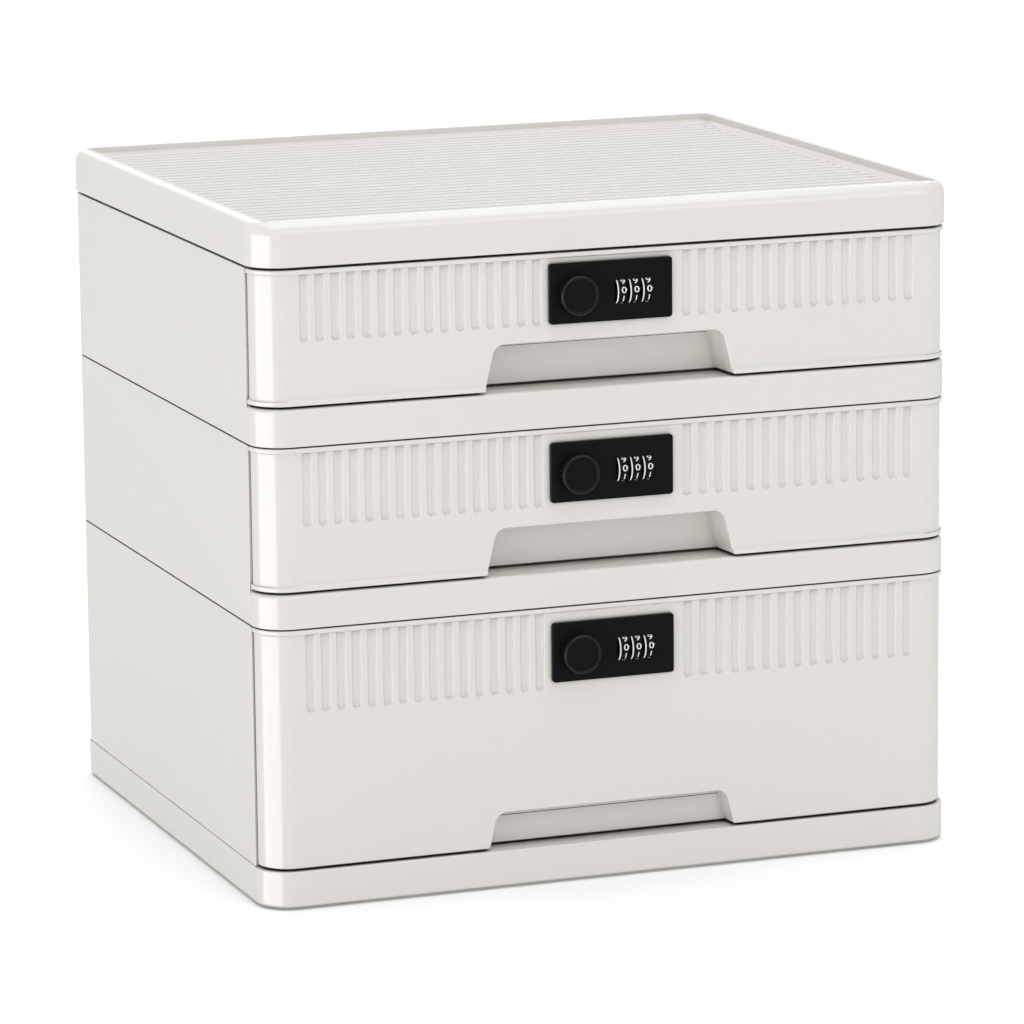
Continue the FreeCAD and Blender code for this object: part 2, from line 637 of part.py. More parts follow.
def drawer_front(tier, deck, bay, gap):
    """Moulded front that wraps round the cabinet's corners."""
    body = new_body(tier + "_front", ("0", FRONT, deck))
    top = "(%s - %s)" % (bay, gap)
    height = "%s - under_gap" % top
    block = rectangle("-width / 2", "width / 2", "0", "return_depth", "front_radius")
    add(body, outline(body, "XY_Plane", "under_gap", block), height)
    low, high, back = value("under_gap"), value(top), value("return_depth")
    round_edges(body, "edge_round", lambda box: box.YMin < back - EDGE_TOLERANCE
                and (flat_at(box.ZMin, box.ZMax, low) or flat_at(box.ZMin, box.ZMax, high)))
    skin = "(inset + front_wall)"
    cut(body, outline(body, "XY_Plane", "under_gap + flange", rectangle(
        "-(width / 2 - %s)" % skin, "width / 2 - %s" % skin, skin,
        "return_depth + %s" % OVERSHOOT, "front_radius - %s" % skin)), height + " - 2 * flange")
    lower_lip = "0" if tier == "lower" else "lip_height"
    outside = "width / 2 + %s" % OVERSHOOT
    inside = "width / 2 - inset"
    rear = "return_depth + %s" % OVERSHOOT
    band = [("-(%s)" % outside, rear), ("-(%s)" % outside, "-%s" % OVERSHOOT),
            (outside, "-%s" % OVERSHOOT), (outside, rear), (inside, rear),
            (inside, "inset", "front_radius - inset"),
            ("-(%s)" % inside, "inset", "front_radius - inset"), ("-(%s)" % inside, rear)]
    cut(body, outline(body, "XY_Plane", "under_gap + %s" % lower_lip, band),
        "%s - lip_height - %s" % (height, lower_lip))
    add_pull(body, tier)
    add_grooves(body, tier, top)
    middle = lock_height(tier, top)
    cut(body, outline(body, "XZ_Plane", "inset", rectangle(
        "-lock_shift - lock_hole_width / 2", "-lock_shift + lock_hole_width / 2",
        "%s - lock_hole_height / 2" % middle, "%s + lock_hole_height / 2" % middle,
        "lock_hole_radius", "lock_hole_radius")), "front_wall")
    add(body, circles(body, "XZ_Plane", CASE_FRONT, boss_centres(bay, gap), "boss_radius"),
        "tray_setback - %s" % CASE_FRONT)
    cut(body, circles(body, "XZ_Plane", "tray_setback - screw_bite", boss_centres(bay, gap),
                      "screw_radius"), "screw_bite")
    return body


def front_screws(tier, deck, bay, gap):
    """Four screws from inside the tray into the bosses of the front."""
    body = new_body(tier + "_front_screws", ("0", FRONT, deck))
    seat = "(tray_setback + tray_wall)"
    add(body, circles(body, "XZ_Plane", "tray_setback - screw_bite", boss_centres(bay, gap),
                      "screw_radius"), "screw_bite + tray_wall")
    add(body, circles(body, "XZ_Plane", seat, boss_centres(bay, gap), "screw_head_radius"),
        "screw_head_height")
    return body


# ---------------------------------------------------------------------------------------------
# Locks: their parts are drawn with the middle of the plate's width at X = 0, the axes of knob and
# wheels at Z = 0 and the front plane at Y = 0
# ---------------------------------------------------------------------------------------------
def lock_place(tier, deck, bay, gap):
    return "-lock_shift", FRONT, lock_height(tier, "%s + %s - %s" % (deck, bay, gap))


def wheel_place(tier, deck, bay, gap, number):
    """Centre of one number wheel."""
    x, y, z = lock_place(tier, deck, bay, gap)
    return ("%s + first_wheel + %d * wheel_pitch" % (x, number), "%s + %s" % (y, WHEEL_AXIS), z)


def screw_centres():
    return [("left_plate_boss", "-plate_boss_rise"), ("right_plate_boss", "plate_boss_rise")]


def lock_plate(place, label):
    """Bezel with three windows that follow the wheels and a bearing hole for the spindle."""
    body = new_body(label, place)
    half = "plate_width / 2"
    add(body, outline(body, "XZ_Plane", PLATE_FACE, rectangle(
        "-" + half, half, "plate_rise - plate_height / 2", "plate_rise + plate_height / 2",
        "plate_radius", "plate_radius")), "plate_thick")
    face = value(PLATE_FACE)
    round_edges(body, "plate_edge", lambda box: flat_at(box.YMin, box.YMax, face))
    add(body, circles(body, "XZ_Plane", "inset", screw_centres(), "plate_boss_radius"),
        "front_wall")
    width = "(wheel_width + 2 * wheel_play)"
    window = cut(body, circles(body, "YZ_Plane", "first_wheel - %s / 2" % width,
                               [(WHEEL_AXIS, "0")], "wheel_radius + wheel_play"), width)
    repeat(body, window, "X_Axis", "wheel_pitch", "wheel_count", False)
    cut(body, circles(body, "XZ_Plane", PLATE_FACE, [("-knob_offset", "0")],
                      "spindle_radius + running_gap"), "plate_thick")
    cut(body, circles(body, "XZ_Plane", PLATE_FACE + " + plate_thick / 2", screw_centres(),
                      "case_screw_radius"), "plate_thick / 2 + front_wall")
    return body


def lock_case(place, label):
    """Body of the lock behind the front, with the axle's cheeks and the spindle's bearing."""
    body = new_body(label, place)
    half, tall = "case_width / 2", "case_height / 2"
    inner_half, inner_tall = "(%s - case_wall)" % half, "(%s - case_wall)" % tall
    add(body, outline(body, "XZ_Plane", CASE_FRONT, rectangle(
        "-" + half, half, "-" + tall, tall, "case_radius", "case_radius")), "case_depth")
    cut(body, outline(body, "XZ_Plane", CASE_FRONT, rectangle(
        "-" + inner_half, inner_half, "-" + inner_tall, inner_tall)), "case_depth - case_wall")
    back = "(%s + case_depth)" % CASE_FRONT
    add(body, circles(body, "XZ_Plane", "%s - bearing_length" % back, [("-knob_offset", "0")],
                      "bearing_radius"), "bearing_length")
    cut(body, circles(body, "XZ_Plane", "%s - bearing_length" % back, [("-knob_offset", "0")],
                      "spindle_radius + running_gap"), "bearing_length")
    add(body, circles(body, "XZ_Plane", CASE_FRONT, screw_centres(), "plate_boss_radius"),
        "case_depth")
    cut(body, circles(body, "XZ_Plane", CASE_FRONT, screw_centres(), "case_screw_radius"),
        "case_depth")
    front = "(inset + cheek_clearance)"
    cheek = [(front, "-cheek_height / 2"), (front, "-axle_radius"),
             (WHEEL_AXIS, "-axle_radius"), (WHEEL_AXIS, "axle_radius"),
             (front, "axle_radius"), (front, "cheek_height / 2"),
             (back, "cheek_height / 2"), (back, "-cheek_height / 2")]
    first = "(first_wheel - (wheel_pitch + cheek_thick) / 2)"
    cheeks = add(body, outline(body, "YZ_Plane", first, cheek), "cheek_thick")
    repeat(body, cheeks, "X_Axis", "wheel_pitch", "wheel_count + 1", True)
    seat = cut(body, circles(body, "YZ_Plane", first, [(WHEEL_AXIS, "0")], "axle_radius"),
               "cheek_thick")
    repeat(body, seat, "X_Axis", "wheel_pitch", "wheel_count + 1", False)
    return body


def case_screws(place, label):
    """Two screws that clamp case and plate through the front."""
    body = new_body(label, place)
    start = "(%s + plate_thick / 2)" % PLATE_FACE
    back = "(%s + case_depth)" % CASE_FRONT
    add(body, circles(body, "XZ_Plane", start, screw_centres(), "case_screw_radius"),
        "%s - %s" % (back, start))
    add(body, circles(body, "XZ_Plane", back, screw_centres(), "case_screw_head_radius"),
        "case_screw_head_height")
    return body


def wheel_axle(place, label):
    """Pin that the number wheels turn on."""
    body = new_body(label, place)
    first = "(first_wheel - (wheel_pitch + cheek_thick) / 2)"
    add(body, circles(body, "YZ_Plane", first, [(WHEEL_AXIS, "0")], "axle_radius"),
        "wheel_count * wheel_pitch + cheek_thick")
    return body


def detent_spring(place, label):
    """Leaf spring with one finger behind each number wheel."""
    body = new_body(label, place)
    front = "(%s + wheel_radius + spring_gap)" % WHEEL_AXIS
    back = "(%s + case_depth - case_wall)" % CASE_FRONT
    low = "(-case_height / 2 + case_wall)"
    finger = [(front, "spring_reach"), (front, low), (back, low),
              (back, low + " + spring_thick"), (front + " + spring_thick",
                                                low + " + spring_thick"),
              (front + " + spring_thick", "spring_reach")]
    fingers = add(body, outline(body, "YZ_Plane", "first_wheel - spring_finger / 2", finger),
                  "spring_finger")
    repeat(body, fingers, "X_Axis", "wheel_pitch", "wheel_count", True)
    tie = [(front, low), (back, low), (back, low + " + spring_thick"),
           (front, low + " + spring_thick")]
    add(body, outline(body, "YZ_Plane", "first_wheel - spring_finger / 2", tie),
        "(wheel_count - 1) * wheel_pitch + spring_finger")
    return body


def number_wheel(place, label):
    """Wheel with ten finger notches, one beside each number."""
    body = new_body(label, place)
    add(body, circles(body, "YZ_Plane", "-wheel_width / 2", [("0", "0")], "wheel_radius"),
        "wheel_width")
    half_step = value("180 / notch_count")
    reach = "wheel_radius + notch_radius / 2"
    notch = cut(body, circles(body, "YZ_Plane", "-wheel_width / 2",
                              [("-(%s) * cos(%r)" % (reach, half_step),
                                "(%s) * sin(%r)" % (reach, half_step))], "notch_radius"),
                "wheel_width")
    turn_around(body, notch, "X_Axis", "notch_count", False)
    cut(body, circles(body, "YZ_Plane", "-wheel_width / 2", [("0", "0")],
                      "axle_radius + running_gap"), "wheel_width")
    return body


def lock_knob(place, label):
    """Round knob on a spindle with a square end for the cam."""
    body = new_body(label, place)
    centre = [("0", "0")]
    face = "(%s - knob_gap - knob_height)" % PLATE_FACE
    square = rectangle("-drive_side / 2", "drive_side / 2", "-drive_side / 2", "drive_side / 2")
    add(body, circles(body, "XZ_Plane", face, centre, "knob_radius"), "knob_height")
    front = value(face)
    round_edges(body, "knob_round", lambda box: flat_at(box.YMin, box.YMax, front))
    cut(body, circles(body, "XZ_Plane", face, centre, "knob_radius - knob_rim"), "knob_dish")
    add(body, circles(body, "XZ_Plane", "%s + knob_height" % face, centre, "spindle_radius"),
        "%s - %s - knob_height" % (CAM_FRONT, face))
    add(body, outline(body, "XZ_Plane", CAM_FRONT, square), "cam_thick")
    cut(body, circles(body, "XZ_Plane", "%s + cam_thick - cam_screw_bite" % CAM_FRONT, centre,
                      "cam_screw_radius"), "cam_screw_bite")
    return body


def lock_cam(place, label):
    """Flat cam, level when the drawer is unlocked."""
    body = new_body(label, place)
    half = "cam_width / 2"
    arm = rectangle("0", "cam_length", "-" + half, half)
    arm[1] = arm[1] + ("cam_tip_radius",)
    arm[2] = arm[2] + ("cam_tip_radius",)
    square = rectangle("-drive_side / 2", "drive_side / 2", "-drive_side / 2", "drive_side / 2")
    add(body, circles(body, "XZ_Plane", CAM_FRONT, [("0", "0")], "cam_hub"), "cam_thick")
    add(body, outline(body, "XZ_Plane", CAM_FRONT, arm), "cam_thick")
    cut(body, outline(body, "XZ_Plane", CAM_FRONT, square), "cam_thick")
    return body


def cam_screw(place, label):
    """Screw that holds the cam on the spindle."""
    body = new_body(label, place)
    seat = "(%s + cam_thick)" % CAM_FRONT
    add(body, circles(body, "XZ_Plane", "%s - cam_screw_bite" % seat, [("0", "0")],
                      "cam_screw_radius"), "cam_screw_bite")
    add(body, circles(body, "XZ_Plane", seat, [("0", "0")], "cam_screw_head_radius"),
        "case_screw_head_height")
    return body


def build_drawer(tier, deck, bay, gap):
    """All parts of one drawer and its lock."""
    parts = [tray(tier, deck, bay, gap), drawer_front(tier, deck, bay, gap),
             front_screws(tier, deck, bay, gap)]
    place = lock_place(tier, deck, bay, gap)
    knob_place = ("%s - knob_offset" % place[0], place[1], place[2])
    for make in (lock_plate, lock_case, case_screws, wheel_axle, detent_spring):
        parts.append(make(place, "%s_%s" % (tier, make.__name__)))
    for make in (lock_knob, lock_cam, cam_screw):
        parts.append(make(knob_place, "%s_%s" % (tier, make.__name__)))
    for number in range(round(value("wheel_count"))):
        parts.append(number_wheel(wheel_place(tier, deck, bay, gap, number),
                                  "%s_number_wheel_%d" % (tier, number + 1)))
    return parts


# ---------------------------------------------------------------------------------------------
# Build and export
# ---------------------------------------------------------------------------------------------
def build():
    parts = [
        top_cover(),
        deck_frame("upper_frame", MIDDLE_CEILING, UPPER_DECK, UPPER_CEILING, "cover_gap"),
        deck_frame("middle_frame", LOWER_CEILING, MIDDLE_DECK, MIDDLE_CEILING, "tier_gap"),
        lower_frame(), base(), rubber_feet(), tie_bolts(),
    ]
    for tier in TIERS:
        parts += build_drawer(*tier)
    return parts


def check(parts):
    """Stop if any object failed or any sub-part has no valid shape."""
    doc.recompute()
    failed = [item.Name for item in doc.Objects if {"Invalid", "Error"} & set(item.State)]
    if failed:
        raise RuntimeError("failed objects: " + ", ".join(failed))
    for part in parts:
        if part.Shape.isNull() or not part.Shape.isValid():
            raise RuntimeError("no valid shape: " + part.Label)


def export(parts):
    os.makedirs("parts", exist_ok=True)
    for part in parts:
        part.Shape.exportStep("parts/%s.step" % part.Label)


sub_parts = build()
check(sub_parts)
export(sub_parts)
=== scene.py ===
"""Looks of the desktop file drawer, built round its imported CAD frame.

Frame: X to the right, Y from front to back, Z up.  Every length is in metres, and small ones are
written as millimetres times MM or as micrometres times UM.
"""
import math

import bmesh
import bpy
from mathutils import Matrix, Vector
from mathutils.bvhtree import BVHTree

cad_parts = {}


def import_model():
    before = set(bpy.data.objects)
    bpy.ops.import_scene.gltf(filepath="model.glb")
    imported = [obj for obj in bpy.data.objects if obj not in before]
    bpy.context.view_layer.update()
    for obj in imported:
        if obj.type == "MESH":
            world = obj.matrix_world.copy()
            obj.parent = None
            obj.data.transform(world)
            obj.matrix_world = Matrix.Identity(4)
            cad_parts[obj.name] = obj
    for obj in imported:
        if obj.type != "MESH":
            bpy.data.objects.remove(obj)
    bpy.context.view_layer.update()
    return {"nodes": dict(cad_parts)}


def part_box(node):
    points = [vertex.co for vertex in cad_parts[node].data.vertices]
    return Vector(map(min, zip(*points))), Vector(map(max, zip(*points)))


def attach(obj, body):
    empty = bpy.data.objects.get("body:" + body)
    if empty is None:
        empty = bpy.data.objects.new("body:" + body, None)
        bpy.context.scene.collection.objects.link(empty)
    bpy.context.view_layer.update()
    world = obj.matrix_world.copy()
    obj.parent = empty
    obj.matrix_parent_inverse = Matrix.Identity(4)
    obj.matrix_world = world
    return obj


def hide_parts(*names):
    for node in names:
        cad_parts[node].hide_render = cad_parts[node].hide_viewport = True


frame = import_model()

MM = 0.001
UM = 0.000001
TIERS = ("upper", "middle", "lower")
WHEELS = (1, 2, 3)


def wheel_node(tier, number):
    """Name of a number wheel's CAD node."""
    return "%s_number_wheel_%d" % (tier, number)


# ---------------------------------------------------------------------------------------------
# Material nodes.  The scale of a noise is about how many features it has in a metre.
# ---------------------------------------------------------------------------------------------
def new_material(name):
    """A node material, with its nodes, its links and its Principled shader."""
    material = bpy.data.materials.new(name)
    material.use_nodes = True
    nodes = material.node_tree.nodes
    shader = nodes["Principled BSDF"]
    return material, nodes, material.node_tree.links, shader


def grey(level):
    """A neutral colour."""
    return (level, level, level)


def object_coordinates(nodes):
    """The object's own coordinates, so that a pattern moves with the piece."""
    return nodes.new("ShaderNodeTexCoord").outputs["Object"]


def noise(nodes, links, coords, scale, detail=2.0):
    """A noise texture over given coordinates."""
    texture = nodes.new("ShaderNodeTexNoise")
    texture.inputs["Scale"].default_value = scale
    texture.inputs["Detail"].default_value = detail
    links.new(coords, texture.inputs["Vector"])
    return texture.outputs["Fac"]


def ramp(nodes, links, source, low, high):
    """Maps 0..1 to a range of values."""
    mapped = nodes.new("ShaderNodeMapRange")
    mapped.inputs["To Min"].default_value = low
    mapped.inputs["To Max"].default_value = high
    links.new(source, mapped.inputs["Value"])
    return mapped.outputs["Result"]


def tint(nodes, links, source, first, second):
    """Mixes two colours by a texture."""
    mix = nodes.new("ShaderNodeMix")
    mix.data_type = "RGBA"
    mix.inputs["A"].default_value = (*first, 1)
    mix.inputs["B"].default_value = (*second, 1)
    links.new(source, mix.inputs["Factor"])
    return mix.outputs["Result"]


def bump(nodes, links, height, distance, below=None):
    """A bump of a given depth, laid over another bump if there is one below it."""
    node = nodes.new("ShaderNodeBump")
    node.inputs["Distance"].default_value = distance
    links.new(height, node.inputs["Height"])
    if below:
        links.new(below, node.inputs["Normal"])
    return node.outputs["Normal"]


# Painted shade: the colour of gaps and inner corners is darkened by how closed in they are
CREVICE_REACH = 3 * MM           # walls nearer than this shade a crevice
CREVICE_SHADE_COLOUR = (0.035, 0.032, 0.029)
CREVICE_SAMPLES = 6
CREVICE_SHUT = 0.08              # share of open directions at which a crevice is darkest
CREVICE_OPEN = 0.76              # share from which on a surface counts as open


def crevices(nodes, links, colour):
    """Painted shade: darkens a colour in narrow gaps and inner corners, where little light comes.
    """
    nearby = nodes.new("ShaderNodeAmbientOcclusion")
    nearby.samples = CREVICE_SAMPLES
    nearby.inputs["Distance"].default_value = CREVICE_REACH
    openness = nodes.new("ShaderNodeMapRange")
    openness.inputs["From Min"].default_value = CREVICE_SHUT
    openness.inputs["From Max"].default_value = CREVICE_OPEN
    links.new(nearby.outputs["AO"], openness.inputs["Value"])
    mix = nodes.new("ShaderNodeMix")
    mix.data_type = "RGBA"
    mix.inputs["A"].default_value = (*CREVICE_SHADE_COLOUR, 1)
    links.new(colour, mix.inputs["B"])
    links.new(openness.outputs["Result"], mix.inputs["Factor"])
    return mix.outputs["Result"]


# ---------------------------------------------------------------------------------------------
# Materials
# ---------------------------------------------------------------------------------------------
PLASTIC_IOR = 1.49
DRIFT_SCALE = 9.0                # slow change of colour
PATCH_SCALE = 30.0               # duller and glossier patches
WAVE_SCALE = 14.0                # waviness of big flat walls
GRAIN_SCALE = 1400.0
DULLER = 0.05                    # the dullest patch is rougher than the finish by this
GLOSSIER = 0.03                  # the glossiest patch is smoother by this


def moulded_plastic(name, light, dark, roughness, grain=0.3 * UM, waviness=20 * UM, shine=0.5,
                    painted_shade=False):
    """Moulded plastic: slow colour drift, fine grain and the slight waviness of a big flat wall."""
    material, nodes, links, shader = new_material(name)
    coords = object_coordinates(nodes)
    drift = noise(nodes, links, coords, DRIFT_SCALE, detail=3.0)
    colour = tint(nodes, links, drift, light, dark)
    # painted shade in narrow gaps and inner corners
    if painted_shade:
        colour = crevices(nodes, links, colour)
    links.new(colour, shader.inputs["Base Color"])
    fine = noise(nodes, links, coords, GRAIN_SCALE, detail=1.0)
    patches = noise(nodes, links, coords, PATCH_SCALE)
    links.new(ramp(nodes, links, patches, roughness - GLOSSIER, roughness + DULLER),
              shader.inputs["Roughness"])
    waves = noise(nodes, links, coords, WAVE_SCALE, detail=1.0)
    wavy = bump(nodes, links, waves, waviness)
    links.new(bump(nodes, links, fine, grain, wavy), shader.inputs["Normal"])
    shader.inputs["IOR"].default_value = PLASTIC_IOR
    shader.inputs["Specular IOR Level"].default_value = shine
    return material


ROLLING_STRETCH = (1.0, 1.0, 14.0)       # finest along Z, so the lines run level
ROLLING_SCALE = 260.0
ROLLING_DEPTH = 6 * UM
ROLLING_ROUGHNESS = 0.08         # rolling lines are rougher and smoother than the finish by this
ZINC_DARK = (0.52, 0.53, 0.55)
ZINC_LIGHT = (0.66, 0.66, 0.67)


def plated_steel(name, roughness):
    """Zinc-plated sheet steel with fine rolling lines along one direction."""
    material, nodes, links, shader = new_material(name)
    coords = object_coordinates(nodes)
    stretch = nodes.new("ShaderNodeMapping")
    stretch.inputs["Scale"].default_value = ROLLING_STRETCH
    links.new(coords, stretch.inputs["Vector"])
    lines = noise(nodes, links, stretch.outputs["Vector"], ROLLING_SCALE, detail=4.0)
    links.new(tint(nodes, links, lines, ZINC_DARK, ZINC_LIGHT), shader.inputs["Base Color"])
    links.new(ramp(nodes, links, lines, roughness - ROLLING_ROUGHNESS,
                   roughness + ROLLING_ROUGHNESS), shader.inputs["Roughness"])
    links.new(bump(nodes, links, lines, ROLLING_DEPTH), shader.inputs["Normal"])
    shader.inputs["Metallic"].default_value = 1.0
    return material


DOTS_TURN = math.radians(45.0)   # the rows of dots run aslant
DOTS_SCALE = 740.0               # dots in a metre
DOTS_DEPTH = 200 * UM
DOTS_SHINE = 0.09
DOTS_PATCH_SCALE = 300.0
DOTS_GLOSSIEST = 0.34            # roughness of the dotted face, patch by patch
DOTS_DULLEST = 0.46
DOTS_DARK = grey(0.0004)
DOTS_LIGHT = grey(0.018)


def dotted_plastic(name):
    """Black plastic with a fine regular mesh of raised dots, as on the knob's face."""
    material, nodes, links, shader = new_material(name)
    coords = object_coordinates(nodes)
    turned = nodes.new("ShaderNodeMapping")
    turned.inputs["Rotation"].default_value = (0.0, DOTS_TURN, 0.0)
    turned.inputs["Scale"].default_value = (1.0, 0.0, 1.0)       # the dots don't vary with depth
    links.new(coords, turned.inputs["Vector"])
    dots = nodes.new("ShaderNodeTexVoronoi")
    dots.inputs["Scale"].default_value = DOTS_SCALE
    dots.inputs["Randomness"].default_value = 0.0
    links.new(turned.outputs["Vector"], dots.inputs["Vector"])
    height = ramp(nodes, links, dots.outputs["Distance"], 1.0, -1.0)
    links.new(tint(nodes, links, height, DOTS_DARK, DOTS_LIGHT), shader.inputs["Base Color"])
    links.new(bump(nodes, links, height, DOTS_DEPTH), shader.inputs["Normal"])
    shader.inputs["Specular IOR Level"].default_value = DOTS_SHINE
    patches = noise(nodes, links, coords, DOTS_PATCH_SCALE)
    links.new(ramp(nodes, links, patches, DOTS_GLOSSIEST, DOTS_DULLEST),
              shader.inputs["Roughness"])
    return material


IVORY_LIGHT = (0.735, 0.715, 0.680)
IVORY_DARK = (0.720, 0.700, 0.664)
# the shell and the fronts get painted shade in their gaps and inner corners
SHELL = moulded_plastic("ivory_shell", IVORY_LIGHT, IVORY_DARK, roughness=0.17, shine=1.0,
                        painted_shade=True)
FRONT = moulded_plastic("ivory_front", IVORY_LIGHT, IVORY_DARK, roughness=0.17, shine=1.0,
                        painted_shade=True)
TRAY = moulded_plastic("ivory_tray", (0.78, 0.755, 0.72), (0.76, 0.735, 0.70), roughness=0.42,
                       grain=10 * UM)
BLACK = moulded_plastic("black_plate", grey(0.0045), (0.0060, 0.0060, 0.0062), roughness=0.34,
                        grain=12 * UM, waviness=10 * UM, shine=0.09)
BLACK_INSIDE = moulded_plastic("black_inside", grey(0.010), grey(0.014), roughness=0.5,
                               grain=20 * UM, waviness=10 * UM, shine=0.2)
KNOB_SIDE = moulded_plastic("black_knob_side", grey(0.006), grey(0.008), roughness=0.30,
                            grain=8 * UM, waviness=10 * UM, shine=0.35)
KNOB_FACE = dotted_plastic("black_knob_face")
PAINT = moulded_plastic("white_paint", (0.88, 0.88, 0.87), (0.83, 0.83, 0.82), roughness=0.45,
                        grain=6 * UM, waviness=1 * UM)
MARK_PAINT = moulded_plastic("grey_paint", grey(0.42), grey(0.36), roughness=0.5,
                             grain=6 * UM, waviness=1 * UM, shine=0.3)
STEEL = plated_steel("zinc_plate", roughness=0.32)
SCREW = plated_steel("zinc_screw", roughness=0.26)
RUBBER = moulded_plastic("rubber", grey(0.03), grey(0.04), roughness=0.75,
                         grain=30 * UM, waviness=10 * UM)


# ---------------------------------------------------------------------------------------------
# Mesh helpers
# ---------------------------------------------------------------------------------------------
WELD = 0.002 * MM                # vertices nearer than this are one
FLAT = math.radians(0.6)         # faces meeting at less than this are one face
SHARP = math.radians(32)         # edges turning more than this are rounded
EDGE_PROFILE = 0.34              # between a straight chamfer, 0.25, and a quarter circle, 0.5
LARGE_FACES_RULE = 100           # the normals at a rounding follow the large faces beside it
STRAY = 0.56                     # a rounding moves no surface by more than this share of its width


def object_from(mesh, name, material):
    """A linked object that holds a mesh and wears a material."""
    piece = bpy.data.objects.new(name, mesh)
    bpy.context.scene.collection.objects.link(piece)
    mesh.materials.clear()
    mesh.materials.append(material)
    return piece


def evaluated_mesh(source):
    """The mesh that an object has with its modifiers, or that a text makes."""
    bpy.context.view_layer.update()
    graph = bpy.context.evaluated_depsgraph_get()
    return bpy.data.meshes.new_from_object(source.evaluated_get(graph))


def weigh_edges(shape, inner):
    """Sets how far each sharp edge is rounded: outer edges fully, inner corners by a share."""
    weight = shape.edges.layers.float.new("bevel_weight_edge")
    for edge in shape.edges:
        if edge.is_manifold and edge.calc_face_angle() > SHARP:
            edge[weight] = 1.0 if edge.is_convex else inner


def round_edges(piece, width, segments):
    """Rounds the weighed edges of a piece and smooths its shading."""
    for polygon in piece.data.polygons:
        polygon.use_smooth = True
    bevel = piece.modifiers.new("edges", "BEVEL")
    bevel.width = width
    bevel.segments = segments
    bevel.profile = EDGE_PROFILE
    bevel.limit_method = "WEIGHT"
    bevel.use_clamp_overlap = False
    even = piece.modifiers.new("even", "WEIGHTED_NORMAL")
    even.weight = LARGE_FACES_RULE
    mesh = evaluated_mesh(piece)
    piece.modifiers.clear()
    piece.data = mesh


def keep_inside(piece, node, surface, reach):
    """Puts vertices that the rounding threw off the CAD surface, or its box, back onto them."""
    low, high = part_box(node)
    for vertex in piece.data.vertices:
        nearest, _, _, distance = surface.find_nearest(vertex.co)
        if distance > reach:
            vertex.co = nearest
        vertex.co = [min(max(at, least), most) for at, least, most in zip(vertex.co, low, high)]


def dressed(node, material, edge, body, segments=2, inner=1.0):
    """A copy of a CAD node with its edges rounded, which stands for the node."""
    shape = bmesh.new()
    shape.from_mesh(frame["nodes"][node].data)
    bmesh.ops.remove_doubles(shape, verts=shape.verts, dist=WELD)
    bmesh.ops.dissolve_limit(shape, angle_limit=FLAT, verts=shape.verts, edges=shape.edges)
    weigh_edges(shape, inner)
    surface = BVHTree.FromBMesh(shape)
    mesh = bpy.data.meshes.new(node + "_look")
    shape.to_mesh(mesh)
    shape.free()
    piece = object_from(mesh, node + "_look", material)
    round_edges(piece, edge, segments)
    keep_inside(piece, node, surface, STRAY * edge)
    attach(piece, body)
    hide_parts(node)
    return piece


def wear(node, material):
    """Gives a carried-over CAD node its finish."""
    materials = frame["nodes"][node].data.materials
    if len(materials):
        for index in range(len(materials)):
            materials[index] = material
    else:
        materials.append(material)


# ---------------------------------------------------------------------------------------------
# Cabinet and drawers
# ---------------------------------------------------------------------------------------------
EDGE = 0.3 * MM
FRONT_EDGE = 0.6 * MM
FRONT_SEGMENTS = 3
INNER_SHARE = 0.9                # inner corners of the fronts are rounded less
PLATE_EDGE = 0.2 * MM

for cabinet_node in ("top_cover", "upper_frame", "middle_frame", "lower_frame", "base"):
    dressed(cabinet_node, SHELL, EDGE, "cabinet")
wear("rubber_feet", RUBBER)
wear("tie_bolts", SCREW)

for tier in TIERS:
    drawer = tier + "_drawer"
    dressed(tier + "_front", FRONT, FRONT_EDGE, drawer, FRONT_SEGMENTS, INNER_SHARE)
    dressed(tier + "_tray", TRAY, EDGE, drawer)
    for screws in ("front_screws", "case_screws", "cam_screw"):
        wear("%s_%s" % (tier, screws), SCREW)
    for steel_part in ("wheel_axle", "detent_spring", "lock_cam"):
        wear("%s_%s" % (tier, steel_part), STEEL)
    wear(tier + "_lock_case", BLACK_INSIDE)
    dressed(tier + "_lock_plate", BLACK, PLATE_EDGE, drawer)
    for number in WHEELS:
        wear(wheel_node(tier, number), BLACK)


# ---------------------------------------------------------------------------------------------
# Knobs: the CAD knob with a dotted face
# ---------------------------------------------------------------------------------------------
KNOB_EDGE = 0.15 * MM
KNOB_RIM = 1.5 * MM              # plain rim round the dotted face
KNOB_FACE_DEPTH = 1 * MM         # the dotted face lies this near the knob's front
KNOB_FACE_INDEX = 1              # place of the dotted material among the knob's two


def knob(tier):
    """The knob of one lock, with its second material on its face."""
    piece = dressed(tier + "_lock_knob", KNOB_SIDE, KNOB_EDGE, tier + "_lock")
    low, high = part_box(tier + "_lock_knob")
    centre = (low + high) / 2
    reach = (high.x - low.x) / 2 - KNOB_RIM
    piece.data.materials.append(KNOB_FACE)
    for polygon in piece.data.polygons:
        spot = polygon.center
        inside = math.hypot(spot.x - centre.x, spot.z - centre.z) < reach
        if inside and spot.y < low.y + KNOB_FACE_DEPTH:
            polygon.material_index = KNOB_FACE_INDEX


for tier in TIERS:
    knob(tier)


# ---------------------------------------------------------------------------------------------
# Number wheels: painted figures and a painted ring near the left rim
# ---------------------------------------------------------------------------------------------
DIGITS = 10
DIGIT_HEIGHT = 3.1 * MM
DIGIT_WIDTH = 2.5 * MM
DIGIT_BOLD = 0.008               # thickening of the strokes, as a share of the letter's size
DIGIT_CURVES = 3                 # how finely the letters' curves are divided
DIGIT_SIDE = 1.1 * MM            # figures stand right of the wheel's middle
DIGIT_STRIPS = 7                 # level cuts across a figure, so that it bends round the wheel
READ_ANGLE = math.radians(7.5)   # the figure that is read stands above the wheel's middle
PAINT_PROUD = 0.04 * MM
PAINT_DEEP = 0.05 * MM
RING_WIDTH = 0.6 * MM
RING_INSET = 0.1 * MM
RING_STEPS = 60


